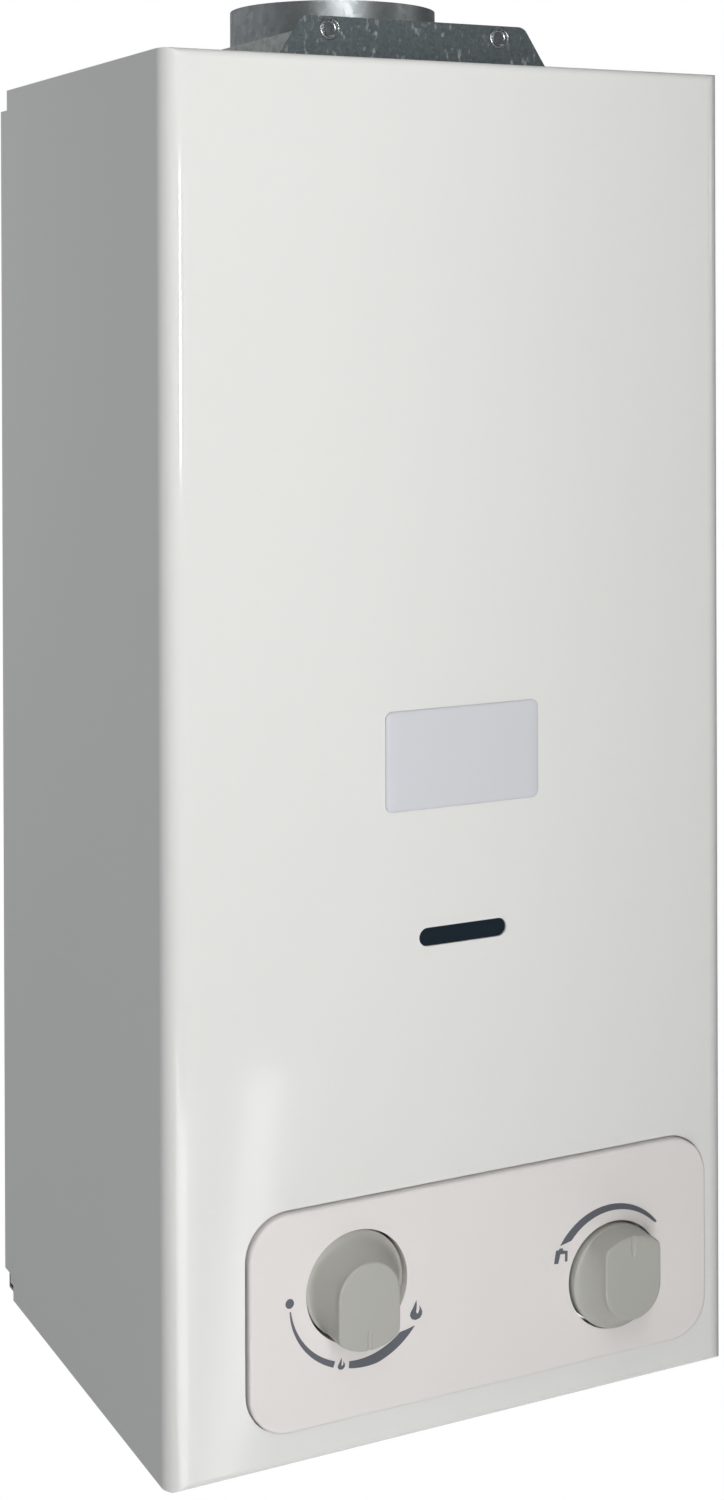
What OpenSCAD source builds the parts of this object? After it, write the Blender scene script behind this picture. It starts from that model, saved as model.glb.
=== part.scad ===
// Wall-hung propane tankless water heater with a flue, as an assembly of separate pieces.
// Sizes in millimetres. The modules draw in x (right), y (behind the casing's front face) and
// z (above the casing's lower edge); framed() then puts the origin in the middle of the four
// wall screws, on the wall, with +Z up and +Y into the wall.

/* [Casing] */
// Width of the front casing
casing_w = 256; // [252:1:264]
// Height of the front casing
casing_h = 550; // [544:1:560]
// Depth of the front casing, front face to wall
casing_d = 204; // [200:1:214]
// Thickness of the casing's sheet steel
sheet = 1; // [0.8:0.1:1.4]
// Radius of the upright front corners
front_round = 8; // [6:0.5:10]
// Radius of the front's top and bottom edges
edge_round = 3; // [2:0.5:4]
// Width of the lip that the bottom folds in
return_lip = 14; // [12:1:16]

/* [Window and badge] */
// Width of the sight slot
slot_w = 40; // [36:1:46]
// Height of the sight slot
slot_h = 7.5; // [6:0.5:9]
// Middle of the sight slot above the lower edge
slot_z = 198.5; // [194:0.5:204]
// Width of the bare badge plate
badge_w = 70; // [60:1:80]
// Height of the bare badge plate
badge_h = 40; // [34:1:46]
// Middle of the badge above the lower edge
badge_z = 270; // [260:1:290]

/* [Control panel] */
// Width of the control panel
panel_w = 211.2; // [205:0.2:214]
// Height of the control panel
panel_h = 84.8; // [82:0.2:88]
// Middle of the panel, right of the casing's middle
panel_x = 9.9; // [8:0.1:11]
// Middle of the panel above the lower edge
panel_z = 56.9; // [55:0.1:59]
// Corner radius of the panel
panel_round = 17; // [14:0.5:20]
// How far the panel stands out of the casing's front
panel_proud = 3.2; // [2:0.2:5]
// Gap round the panel in the casing's opening
panel_gap = 0.6; // [0.4:0.1:1.5]

/* [Knobs] */
// Diameter of a knob's disc
knob_d = 42; // [41:0.5:43.6]
// Width of a knob's grip
grip_w = 26.8; // [24:0.2:29]
// Height of the grip's face over the disc's rim
knob_rise = 13.5; // [12:0.5:16]
// Diameter of a knob's hole in the panel
knob_hole = 44.4; // [44.2:0.2:46]
// Gas knob, right of the casing's middle
gas_x = -49.7; // [-52:0.1:-49]
// Gas knob above the lower edge
gas_z = 66.2; // [65:0.1:68]
// Gas knob's face in front of the casing
gas_face = 14.5; // [13:0.5:17]
// Water knob, right of the casing's middle
water_x = 69.5; // [67:0.1:71]
// Water knob above the lower edge
water_z = 48.1; // [47:0.1:49.5]
// Water knob's face in front of the casing
water_face = 18; // [16:0.5:20]

/* [Flue and hood] */
// Bore of the flue socket
flue_bore = 90.4; // [88:0.2:92]
// Wall of the flue socket
flue_wall = 0.8; // [0.6:0.1:1.2]
// Flue's middle behind the front face
flue_y = 119; // [112:1:122]
// Top of the flue socket over the casing's top
flue_rise = 33; // [28:1:40]
// Half width of the hood's neck
neck_half = 57; // [55:0.5:60]
// Roof of the hood's neck over the casing's top
neck_rise = 13.5; // [10:0.5:16]
// Hood's front wall behind the front face
hood_y = 39; // [36:0.5:42]
// Top of the hood's front plate over the casing's top
crest_rise = 20.5; // [18:0.5:22]

/* [Burner and exchanger] */
// Room between the casing's side and the copper combustion chamber
side_room = 48; // [47:0.5:49]
// Depth of the copper combustion chamber
chamber_l = 100; // [98:0.5:102]
// Diameter of the copper pipes
pipe_d = 12; // [10:0.5:12]
// Diameter of the exchanger's tubes
tube_d = 14; // [12:0.5:15]
// Number of fins on the exchanger
fins = 34; // [26:1:36]
// Number of burner bars
bars = 9; // [7:2:9]

/* [Connections] */
// Diameter of the threaded connections
thread_d = 20.96; // [20.4:0.02:21.2]
// How far the connections reach under the casing
stub = 16; // [12:1:20]
// Diameter of the wall screw holes
wall_hole = 7; // [6:0.5:8]

/* [Hidden] */
$fn = 64;
base = -casing_h / 2;
half_w = casing_w / 2;
in_half = half_w - sheet;
fit = 0.3;
run = 0.05;

back_sheet = 1.2;
plate_y = casing_d - back_sheet;
plate_half = in_half - 0.4;
wall_x = half_w - 24;
wall_z = 205;

notch_top = 9;
step_low = 10.6;
step_in = 8;
foot_low = 6.7;
foot_in = 12;

open_w = panel_w + 2 * panel_gap;
open_h = panel_h + 2 * panel_gap;
open_round = panel_round + panel_gap;
roll = 3;
seat_y = 4.3;
seat_t = 1.2;
panel_t = 2.4;
post_in = 7;
panel_depth = panel_proud + seat_y;

knob_skirt = 9;
knob_len = knob_rise + knob_skirt;
knob_bore = 14;
shaft_r = 4;
gas_rear = knob_len - gas_face;
water_rear = knob_len - water_face;

neck_top = casing_h + neck_rise;
neck_end = flue_y + flue_bore / 2 + 13;
chamber_w = casing_w - 2 * side_room;
skirt_half = chamber_w / 2 + 12;
skirt_end = plate_y - 16.8;
hood_foot_x = skirt_half - 32;
spill_x = skirt_half - 30;
vent_from = neck_half + 24;
vent_to = half_w - 17;
skirt_low = casing_h - 104;
skirt_top = casing_h - 50;
crest_z = casing_h + crest_rise;
crest_half = 52;
crest_slope = 0.645;
clinch_x = crest_half - 12;
upstand_half = clinch_x + 6;

chamber_y = 62;
chamber_low = 192;
chamber_top = skirt_low + 6;
chamber_half = chamber_w / 2;
chamber_end = chamber_y + chamber_l;
copper = 1;
pipe_r = pipe_d / 2;
bend = 10;
chamber_round = bend - pipe_r - fit;
coil_x = chamber_half + pipe_r + fit;
coil_front = chamber_y - pipe_r - fit;
coil_back = chamber_end + pipe_r + fit;
coil_low = 235;
coil_high = 300;
bracket_x = chamber_half - 15;
bracket_z = coil_high + 38;
tube_z = chamber_top - 32;
tube_pitch = 24;
tube_first = chamber_y + chamber_l / 2 - 1.5 * tube_pitch;
side_run = coil_x + bend + 1.7;
hot_run = side_run + pipe_d + 2;
fin_pitch = (chamber_w - 2 * copper - 6) / (fins - 1);

frame_half = chamber_half - copper - 0.8;
frame_t = 1.2;
frame_foot_x = frame_half + 7.8;
bar_pitch = 2 * (frame_half - 9.2) / (bars - 1);
bar_top = 188;
bar_y = chamber_y + 5.5;
bar_l = chamber_l - 9;
jet_z = 158;
mouth_r = 5.9;
mouth_l = 9;
rail_y = bar_y - 1.5;
manifold_y = 38;
manifold_t = 14;
feed_y = manifold_y + manifold_t / 2;

shelf_z = 14;
shelf_t = 1.5;
shelf_top = shelf_z + shelf_t;
shelf_half = plate_half - 18.6;
shelf_screws = [shelf_half - 8, 28 - shelf_half];
shelf_screw_z = shelf_z + 14;
thread_top = shelf_z - 7;
neck_r = thread_d / 2 - 0.3;
valve_y = 75;
rod_z = 58;
gas_top = 92;
gas_low = 42;
riser_low = 80;
hot_x = 24 - hot_run;
hot_y = 112;
hot_top = 36;
rod_r = 3;
case_x = -2;
case_w = 72.4;
case_l = 38.4;
case_low = 10;
case_high = 78;
case_end = plate_y - fit;
case_y = case_end - case_l;
cell_d = 33;
pin_y = case_end - 3.2;
pin_z = case_low - 3.3;
box_x1 = plate_half - 34.6;
box_x0 = box_x1 - 44;
box_y0 = 138;
box_y1 = plate_y - 2;
box_top = 95;
probe_x = bar_pitch / 2;
probe_r = 2.5;
probe_y = bar_y - mouth_l - probe_r - fit;
probe_low = 150;
probe_high = 194;
ignition_route = [[-probe_x, probe_y, 149.5], [-probe_x, probe_y, 128], [-2, 75, 114], [30, 120, 108],
    [box_x0 + 10, 148, 108], [box_x0 + 16, 166, 105], [box_x0 + 16, 166, box_top + 0.7]];
sensor_route = [[probe_x, probe_y, 149.5], [probe_x, probe_y, 130], [20, 75, 118], [50, 115, 113],
    [box_x0 + 25, 148, 111], [box_x0 + 30, 166, 106], [box_x0 + 30, 166, box_top + 0.7]];
flange_screws = [[hood_foot_x, skirt_low + 34], [-hood_foot_x, skirt_low + 34],
    [bracket_x, bracket_z + 10], [-bracket_x, bracket_z + 10], [frame_foot_x, 150],
    [-frame_foot_x, 150], [shelf_screws[0], shelf_screw_z], [shelf_screws[1], shelf_screw_z]];

white = [0.9, 0.9, 0.89];
zinc = [0.55, 0.58, 0.6];
steel = [0.7, 0.71, 0.72];
red_copper = [0.78, 0.45, 0.3];
yellow_brass = [0.8, 0.66, 0.35];
black = [0.1, 0.1, 0.11];

function at(p) = [p[0], p[1] - casing_d, p[2] + base];
function unit(v) = v / norm(v);

module framed() {
    translate(at([0, 0, 0])) children();
}

// Turns a shape drawn in x and z so that it grows towards the front from depth y
module facing(x, y, z) {
    translate([x, y, z]) rotate([90, 0, 0]) children();
}

module along_x(x, y, z) {
    translate([x, y, z]) rotate([0, 90, 0]) children();
}

module across(w, d, h, x = 0, y = 0, z = 0) {
    translate([x - w / 2, y, z]) cube([w, d, h]);
}

module rrect(w, h, r) {
    square([w - 2 * r, h], center = true);
    square([w, h - 2 * r], center = true);
    for (sx = [-1, 1])
        for (sy = [-1, 1])
            translate([sx * (w / 2 - r), sy * (h / 2 - r)]) circle(r);
}

module stadium(w, h) {
    square([w - h, h], center = true);
    for (s = [-1, 1])
        translate([s * (w - h) / 2, 0]) circle(h / 2);
}

// Runs a small profile round a rounded rectangle; its u axis points out of the outline
module ring(w, h, r) {
    for (k = [0 : 3]) {
        wide = k % 2 == 0 ? w : h;
        tall = k % 2 == 0 ? h : w;
        rotate([0, 0, 90 * k]) {
            translate([wide / 2, tall / 2 - r, 0]) rotate([90, 0, 0])
                linear_extrude(tall - 2 * r) children();
            translate([wide / 2 - r, tall / 2 - r, 0]) rotate_extrude(angle = 90)
                translate([r, 0]) children();
        }
    }
}

// Copper pipe along a square-cornered route, with round bends
module pipe(route, r, bend_r) {
    last = len(route) - 1;
    for (i = [0 : last - 1]) {
        u = unit(route[i + 1] - route[i]);
        from = route[i] + (i > 0 ? bend_r : 0) * u;
        to = route[i + 1] - (i < last - 1 ? bend_r : 0) * u;
        side = abs(u[2]) > 0.5 ? [1, 0, 0] : [0, 0, 1];
        other = cross(u, side);
        multmatrix([[side[0], other[0], u[0], from[0]], [side[1], other[1], u[1], from[1]],
            [side[2], other[2], u[2], from[2]], [0, 0, 0, 1]])
            cylinder(r = r, h = norm(to - from));
        if (i < last - 1) {
            v = unit(route[i + 2] - route[i + 1]);
            c = route[i + 1] - bend_r * u + bend_r * v;
            n = cross(u, v);
            multmatrix([[-v[0], u[0], n[0], c[0]], [-v[1], u[1], n[1], c[1]],
                [-v[2], u[2], n[2], c[2]], [0, 0, 0, 1]])
                rotate_extrude(angle = 90) translate([bend_r, 0]) circle(r);
        }
    }
}

function spline(p, i, t) =
    let (a = p[max(i - 1, 0)], b = p[i], c = p[i + 1], d = p[min(i + 2, len(p) - 1)])
    0.5 * (2 * b + (c - a) * t + (2 * a - 5 * b + 4 * c - d) * t * t
        + (3 * b - a - 3 * c + d) * t * t * t);

// A thin lead swept along a smooth curve through its route's points
module lead(route, r) {
    sides = 8;
    steps = 6;
    path = [for (i = [0 : len(route) - 2]) for (k = [0 : steps - 1]) spline(route, i, k / steps),
        route[len(route) - 1]];
    n = len(path);
    rings = [for (i = [0 : n - 1])
        let (t = unit(path[min(i + 1, n - 1)] - path[max(i - 1, 0)]),
            u = unit(cross(t, [0.6, -0.7, 0.3])), v = cross(t, u))
        [for (k = [0 : sides - 1])
            path[i] + r * cos(360 * k / sides) * u + r * sin(360 * k / sides) * v]];
    points = [for (row = rings) each row];
    walls = [for (i = [0 : n - 2]) for (k = [0 : sides - 1])
        let (a = i * sides + k, b = i * sides + (k + 1) % sides)
        each [[a, a + sides, b], [b, a + sides, b + sides]]];
    ends = [for (k = [1 : sides - 2])
        each [[0, k, k + 1], [(n - 1) * sides, (n - 1) * sides + k + 1, (n - 1) * sides + k]]];
    polyhedron(points, concat(walls, ends), convexity = 6);
}

module nut(flats, h, bore_r) {
    difference() {
        cylinder(r = flats / 2 / cos(30), h = h, $fn = 6);
        translate([0, 0, -1]) cylinder(r = bore_r, h = h + 2);
    }
}

// A bent sheet stand-off from a rear wall at depth y0 to the back plate
module stand_off(s, x, y0, z, h) {
    mirror([s < 0 ? 1 : 0, 0, 0]) {
        translate([x - 21, y0, z]) cube([12, 1.2, h]);
        translate([x - 10.2, y0, z]) cube([1.2, plate_y - y0, h]);
        difference() {
            translate([x - 9.2, plate_y - 1.2, z]) cube([18, 1.2, h]);
            facing(x, plate_y + 1, z + h / 2) cylinder(r = 2.2, h = 4);
        }
    }
}

module casing_plan(i, rear) {
    w = half_w - i;
    r = front_round - i;
    translate([-w, i + r]) square([2 * w, rear - i - r]);
    translate([r - w, i]) square([2 * w - 2 * r, r + 1]);
    for (s = [-1, 1])
        translate([s * (w - r), i + r]) circle(r);
}

module casing_side(i, rear) {
    r = edge_round - i;
    translate([i + r, i]) square([rear - i - r, casing_h - 2 * i]);
    translate([i, i + r]) square([r + 1, casing_h - 2 * i - 2 * r]);
    for (z = [i + r, casing_h - i - r])
        translate([i + r, z]) circle(r);
}

module casing_block(i, rear) {
    intersection() {
        linear_extrude(casing_h) casing_plan(i, rear);
        translate([-half_w, 0, 0]) rotate([90, 0, 90])
            linear_extrude(casing_w) casing_side(i, rear);
    }
}

module opening_profile() {
    difference() {
        translate([0, -seat_y - seat_t]) square([roll + 0.6, seat_y + seat_t]);
        difference() {
            translate([-1, -roll]) square([roll + 1, roll + 1]);
            translate([roll, -roll]) circle(roll);
        }
    }
}

module front_casing() color(white) framed() {
    difference() {
        casing_block(0, casing_d);
        casing_block(sheet, casing_d + 5);
        across(2 * neck_half + 26, casing_d, 6, 0, hood_y - 9, casing_h - 3);
        across(2 * (in_half - return_lip), casing_d, 6, 0, sheet + return_lip, -3);
        across(casing_w + 2, 40, 40, 0, casing_d - notch_top, casing_h - notch_top);
        across(casing_w + 2, 40, step_low + 10, 0, casing_d - step_in, -10);
        across(casing_w + 2, 40, foot_low + 10, 0, casing_d - foot_in, -10);
        facing(panel_x, 20, panel_z) linear_extrude(40) rrect(open_w, open_h, open_round);
        facing(0, 20, slot_z) linear_extrude(40) stadium(slot_w, slot_h);
        for (s = [-1, 1]) {
            facing(s * badge_w * 0.3, 20, badge_z) cylinder(r = 1.7, h = 40);
            translate([s * (in_half - return_lip / 2), casing_d - foot_in - 8, -1]) {
                cylinder(r = 2.4, h = 4);
                across(4.8, 40, 4);
            }
            for (k = [0 : 5])
                across(vent_to - vent_from, 5, 6, s * (vent_to + vent_from) / 2, 40 + 13 * k, casing_h - 3);
        }
    }
    facing(panel_x, 0, panel_z) ring(open_w, open_h, open_round) opening_profile();
    difference() {
        facing(panel_x, seat_y + seat_t, panel_z) linear_extrude(seat_t) difference() {
            rrect(open_w + 2, open_h + 2, open_round + 1);
            difference() {
                rrect(open_w - 10, open_h - 10, open_round - 5);
                for (sx = [-1, 1])
                    for (sz = [-1, 1])
                        translate([sx * (panel_w / 2 - post_in), sz * 16]) circle(6);
            }
        }
        panel_screw_places() cylinder(r = 1.7, h = 20, center = true);
    }
}

module panel_screw_places() {
    for (sx = [-1, 1])
        for (sz = [-1, 1])
            facing(panel_x + sx * (panel_w / 2 - post_in), seat_y + seat_t, panel_z + sz * 16)
                children();
}

module control_panel() color([0.88, 0.86, 0.85]) framed() {
    soft = 1.2;
    difference() {
        facing(panel_x, seat_y, panel_z) {
            translate([0, 0, panel_depth - panel_t]) linear_extrude(panel_t)
                rrect(panel_w - 2 * soft, panel_h - 2 * soft, panel_round - soft);
            ring(panel_w, panel_h, panel_round) difference() {
                translate([-2, 0]) square([2, panel_depth]);
                translate([-soft, panel_depth - soft]) difference() {
                    square(soft + 1);
                    circle(soft);
                }
            }
            for (sx = [-1, 1])
                for (sz = [-1, 1])
                    translate([sx * (panel_w / 2 - post_in), sz * 16, 0])
                        cylinder(r = 3.5, h = panel_depth - 1);
            for (k = [[gas_x, gas_z], [water_x, water_z]])
                translate([k[0] - panel_x, k[1] - panel_z, -1.7])
                    cylinder(r = knob_hole / 2 + 2, h = panel_depth);
        }
        facing(gas_x, 20, gas_z) cylinder(r = knob_hole / 2, h = 40);
        facing(water_x, 20, water_z) cylinder(r = knob_hole / 2, h = 40);
        panel_screw_places() cylinder(r = 1.3, h = 2 * seat_t + 5);
    }
}

module panel_screws() color(steel) framed() panel_screw_places() {
    cylinder(r = 1.25, h = seat_t + 4);
    translate([0, 0, -1.8]) cylinder(r = 2.8, h = 1.8);
}

module badge_plate() color([0.74, 0.73, 0.76]) framed() facing(0, 0, badge_z) {
    linear_extrude(0.9) rrect(badge_w, badge_h, 3);
    translate([0, 0, 0.9]) linear_extrude(0.7) rrect(badge_w - 1.2, badge_h - 1.2, 2.4);
    for (s = [-1, 1])
        translate([s * badge_w * 0.3, 0, -3]) cylinder(r = 1.5, h = 3.5);
}

module sight_frame() color(black) framed() facing(0, sheet + 4.2, slot_z)
    linear_extrude(4) difference() {
        stadium(slot_w + 9, slot_h + 9);
        stadium(slot_w, slot_h);
    }

module sight_glass() color([0.08, 0.1, 0.16]) framed() facing(0, sheet + 3.2, slot_z)
    linear_extrude(3.6) stadium(slot_w - 0.4, slot_h - 0.4);

module cover_screws() color(steel) framed()
    for (s = [-1, 1])
        translate([s * (in_half - return_lip / 2), casing_d - foot_in - 8, 0]) {
            translate([0, 0, -2.4]) cylinder(r = 4, h = 2.4);
            cylinder(r = 2, h = 9);
        }

module back_plate() color(zinc) framed() difference() {
    union() {
        across(2 * plate_half, back_sheet, casing_h - 24, 0, plate_y, 14);
        for (s = [-1, 1]) {
            across(back_sheet, 20, casing_h - 24, s * (plate_half - back_sheet / 2), plate_y - 19, 14);
            across(return_lip, back_sheet, 14, s * (in_half - return_lip / 2 - 1), plate_y,
                sheet + fit);
            across(return_lip, 30, back_sheet, s * (in_half - return_lip / 2 - 1), plate_y - 29,
                sheet + fit);
        }
        across(2 * plate_half, 14, back_sheet, 0, plate_y - 13, casing_h - 10 - back_sheet);
    }
    for (s = [-1, 1]) {
        for (u = [-1, 1])
            facing(s * wall_x, casing_d + 5, casing_h / 2 + u * wall_z)
                cylinder(r = wall_hole / 2, h = 12);
        translate([s * (in_half - return_lip / 2), casing_d - foot_in - 8, 0])
            cylinder(r = 2 + run, h = 6);
    }
    for (p = flange_screws)
        facing(p[0], casing_d + 5, p[1]) cylinder(r = 2 + run, h = 12);
}

module chassis_screws() color(steel) framed()
    for (p = flange_screws) {
        facing(p[0], casing_d - 0.2, p[1]) cylinder(r = 2, h = 3);
        facing(p[0], plate_y - 1.5, p[1]) cylinder(r = 3.8, h = 2.4);
    }

module hood_block(i) {
    across(2 * (skirt_half - i), skirt_end - hood_y - 2 * i, skirt_top - skirt_low - i, 0,
        hood_y + i, skirt_low + i);
    hull() {
        across(2 * (skirt_half - i), skirt_end - hood_y - 2 * i, 0.1, 0, hood_y + i, skirt_top - i);
        across(2 * (neck_half - i), neck_end - hood_y - 2 * i, 0.1, 0, hood_y + i,
            skirt_top + 34 - i);
    }
    across(2 * (neck_half - i), neck_end - hood_y - 2 * i, neck_top - skirt_top - 33.9, 0,
        hood_y + i, skirt_top + 33.9 - i);
}

module draught_hood() color(zinc) framed() {
    difference() {
        hood_block(0);
        hood_block(1);
        across(chamber_w + 0.8, chamber_l + 0.8, 20, 0, chamber_y - 0.4, skirt_low - 10);
        translate([0, flue_y, neck_top - 10])
            cylinder(r = flue_bore / 2 + flue_wall + 0.2, h = 20);
        for (s = [-1, 0, 1])
            across(44, 20, 18, s * 50, hood_y - 10, skirt_low + 12);
        facing(spill_x, hood_y + 10, skirt_low + 44) cylinder(r = 4, h = 20);
    }
    for (s = [-1, 1])
        stand_off(s, hood_foot_x, skirt_end, skirt_low + 24, 20);
    across(2 * upstand_half, 1, crest_z - 1 - neck_top + 2, 0, hood_y, neck_top - 2);
}

module crest_outline() {
    r = 5;
    cx = crest_half - r * (sqrt(1 + crest_slope * crest_slope) - crest_slope);
    foot_half = crest_half + crest_slope * 24;
    turn = 90 - atan(crest_slope);
    right = [for (k = [0 : 8]) [cx + r * sin(turn * k / 8), crest_z - r + r * cos(turn * k / 8)]];
    left = [for (k = [8 : -1 : 0]) [-right[k][0], right[k][1]]];
    polygon(concat(left, right, [[foot_half, crest_z - 24], [foot_half, skirt_top + 34],
        [-foot_half, skirt_top + 34], [-foot_half, crest_z - 24]]));
}

module hood_front_plate() color(zinc) framed() difference() {
    facing(0, hood_y, 0) linear_extrude(1) crest_outline();
    for (s = [-1, 1])
        facing(s * clinch_x, hood_y + 5, crest_z - 5) cylinder(r = 4, h = 10);
}

module flue_collar() color(zinc) framed() translate([0, flue_y, 0]) rotate_extrude() {
    translate([flue_bore / 2, neck_top - 6]) square([flue_wall, flue_rise - neck_rise + 6]);
    translate([flue_bore / 2, neck_top]) square([flue_wall + 6, 1]);
}

module hood_baffle() color(zinc) framed() {
    across(2 * skirt_half - 2.6, 70, 1, 0, flue_y - 35, skirt_low + 44);
    for (y = [flue_y - 35, flue_y + 34])
        across(2 * skirt_half - 2.6, 1, 7, 0, y, skirt_low + 37.5);
}

module spill_sensor() color(black) framed() {
    facing(spill_x, hood_y, skirt_low + 44) {
        linear_extrude(1) rrect(26, 12, 4);
        cylinder(r = 7.5, h = 7);
        cylinder(r = 3.5, h = 10);
    }
    facing(spill_x, hood_y + 6, skirt_low + 44) cylinder(r = 3.6, h = 6.5);
}

module combustion_chamber() color(red_copper) framed() difference() {
    translate([0, chamber_y + chamber_l / 2, chamber_low])
        linear_extrude(chamber_top - chamber_low) difference() {
            rrect(chamber_w, chamber_l, chamber_round);
            rrect(chamber_w - 2 * copper, chamber_l - 2 * copper, chamber_round - copper);
        }
    across(72, 12, 32, 0, chamber_y - 5, chamber_low - 10);
    for (k = [0 : 3])
        along_x(-half_w, tube_first + k * tube_pitch, tube_z)
            cylinder(r = tube_d / 2 + 0.2, h = casing_w);
}

module fin_block() color(red_copper) framed() difference() {
    for (k = [0 : fins - 1])
        across(0.6, chamber_l - 2 * copper - 0.6, 36, (k - (fins - 1) / 2) * fin_pitch,
            chamber_y + copper + 0.3, tube_z - 18);
    for (k = [0 : 3])
        along_x(-half_w, tube_first + k * tube_pitch, tube_z)
            cylinder(r = tube_d / 2 + 0.1, h = casing_w);
}

module exchanger_tubes() color(red_copper) framed() {
    for (k = [0 : 3])
        along_x(-coil_x, tube_first + k * tube_pitch, tube_z)
            cylinder(r = tube_d / 2, h = 2 * coil_x);
    for (k = [0, 2])
        translate([coil_x, tube_first + (k + 0.5) * tube_pitch, tube_z]) rotate([0, 0, -90])
            rotate_extrude(angle = 180) translate([tube_pitch / 2, 0]) circle(tube_d / 2);
    translate([-coil_x, tube_first + 1.5 * tube_pitch, tube_z]) rotate([0, 0, 90])
        rotate_extrude(angle = 180) translate([tube_pitch / 2, 0]) circle(tube_d / 2);
}

module coil_pipe() color(red_copper) framed()
    pipe([[coil_x, valve_y, riser_low], [coil_x, valve_y, coil_low], [coil_x, coil_back, coil_low],
        [-coil_x, coil_back, coil_low], [-coil_x, coil_front, coil_low],
        [coil_x, coil_front, coil_low], [coil_x, coil_front, coil_high],
        [coil_x, coil_back, coil_high], [-side_run, coil_back, coil_high],
        [-side_run, tube_first, coil_high], [-side_run, tube_first, tube_z],
        [-coil_x, tube_first, tube_z]], pipe_r, bend);

module hot_outlet_pipe() color(red_copper) framed()
    pipe([[-coil_x, tube_first + 3 * tube_pitch, tube_z],
        [-hot_run, tube_first + 3 * tube_pitch, tube_z], [-hot_run, tube_first + 3 * tube_pitch, 110],
        [-hot_run, hot_y, 110], [hot_x, hot_y, 110], [hot_x, hot_y, hot_top]], pipe_r, bend);

module pipe_nuts() color(yellow_brass) framed() {
    translate([coil_x, valve_y, riser_low + 0.1]) nut(20, 10, pipe_r + run);
    translate([hot_x, hot_y, hot_top + 0.1]) nut(20, 10, pipe_r + run);
}

module overheat_sensor() color(black) framed() {
    along_x(chamber_half, chamber_y + chamber_l / 2, (coil_high + tube_z) / 2) {
        linear_extrude(1) rrect(12, 26, 4);
        cylinder(r = 7.5, h = 7);
        cylinder(r = 3.5, h = 10);
    }
}

module chamber_brackets() color(zinc) framed()
    for (s = [-1, 1])
        stand_off(s, bracket_x, chamber_end, bracket_z, 20);

module burner_frame() color(zinc) framed() {
    for (s = [-1, 1]) {
        across(frame_t, bar_l + 3, chamber_low - 125, s * (frame_half - frame_t / 2), rail_y, 125 - 0.3);
        across(frame_t, plate_y - rail_y, 30, s * (frame_half - frame_t / 2), rail_y, 135);
        difference() {
            across(16, frame_t, 30, s * (frame_half + 8 - frame_t), plate_y - frame_t, 135);
            facing(s * frame_foot_x, plate_y + 5, 150) cylinder(r = 2.2, h = 10);
        }
        for (y = [80, 130])
            across(5, 20, frame_t, s * (frame_half + 1), y, chamber_low - 0.3 - frame_t);
    }
    for (y = [rail_y, rail_y + bar_l + 3 - frame_t])
        across(2 * frame_half, frame_t, 18, 0, y, 168);
    across(2 * frame_half, 8, frame_t, 0, rail_y, 150);
    across(2 * frame_half, 8, frame_t, 0, rail_y + bar_l - 5, 150);
}

module burner_bars() color(steel) framed()
    for (k = [0 : bars - 1])
        translate([(k - (bars - 1) / 2) * bar_pitch, bar_y, 0]) difference() {
            union() {
                across(11, bar_l, 16, 0, 0, bar_top - 16);
                across(4, bar_l - 4, 14, 0, 2, bar_top - 29);
                facing(0, bar_l - 8, jet_z) cylinder(r = 5.5, h = bar_l - 1);
                facing(0, 2.5 - mouth_l, jet_z) cylinder(r1 = 5.5, r2 = mouth_r, h = 2.5);
            }
            facing(0, 10, jet_z) cylinder(r = 4, h = 30);
            for (j = [0 : 11])
                across(7, 1.8, 4, 0, 5 + j * 7.2, bar_top - 3);
        }

module gas_manifold() color(zinc) framed() difference() {
    union() {
        across(2 * frame_half + 2.8, manifold_t, manifold_t, 0, manifold_y, jet_z - 7);
        for (s = [-1, 1])
            across(frame_t, 46, manifold_t, s * (frame_half + 0.8), manifold_y, jet_z - 7);
    }
    for (k = [0 : bars - 1])
        facing((k - (bars - 1) / 2) * bar_pitch, manifold_y + manifold_t + 1, jet_z)
            cylinder(r = 2.05, h = 6);
}

module injectors() color(yellow_brass) framed()
    for (k = [0 : bars - 1])
        facing((k - (bars - 1) / 2) * bar_pitch, manifold_y + manifold_t, jet_z) {
            cylinder(r = 2, h = 4);
            translate([0, 0, -3]) cylinder(r = 3.4, h = 3, $fn = 6);
            translate([0, 0, -5]) cylinder(r = 2, h = 3);
        }

module gas_feed_pipe() color(yellow_brass) framed() translate([gas_x, feed_y, 0]) {
    translate([0, 0, gas_top]) cylinder(r = 7, h = jet_z - 7 - gas_top);
    translate([0, 0, gas_top]) cylinder(r = 11, h = 9, $fn = 6);
    translate([0, 0, jet_z - 16]) cylinder(r = 11, h = 9, $fn = 6);
}

module gas_valve_body() color([0.66, 0.67, 0.68]) framed() difference() {
    union() {
        facing(gas_x, 94, gas_z) cylinder(r = 20, h = 60);
        across(56, 42, 40, gas_x, 52, 46);
        translate([gas_x, feed_y, gas_z]) cylinder(r = 10, h = gas_top - gas_z);
        translate([gas_x, valve_y, gas_low]) cylinder(r = 13, h = 8);
        along_x(gas_x, valve_y, rod_z) cylinder(r = 10, h = 36);
    }
    facing(gas_x, 60, gas_z) cylinder(r = 7 + run, h = 40);
    along_x(gas_x + 6.5, valve_y, rod_z) cylinder(r = 9, h = 18);
    along_x(gas_x + 6.5, valve_y, rod_z) cylinder(r = rod_r + run, h = 50);
    translate([gas_x, valve_y, gas_low - 1]) cylinder(r = 7, h = 18);
    translate([gas_x, feed_y, gas_z + 10]) cylinder(r = 5, h = 40);
}

module gas_solenoid() color(black) framed() along_x(gas_x - 28, valve_y, gas_z)
    rotate([180, 0, 0]) {
        cylinder(r = 11, h = 4);
        translate([0, 0, 4]) cylinder(r = 13.5, h = 22);
        translate([0, 0, 26]) cylinder(r = 5, h = 3);
    }

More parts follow.
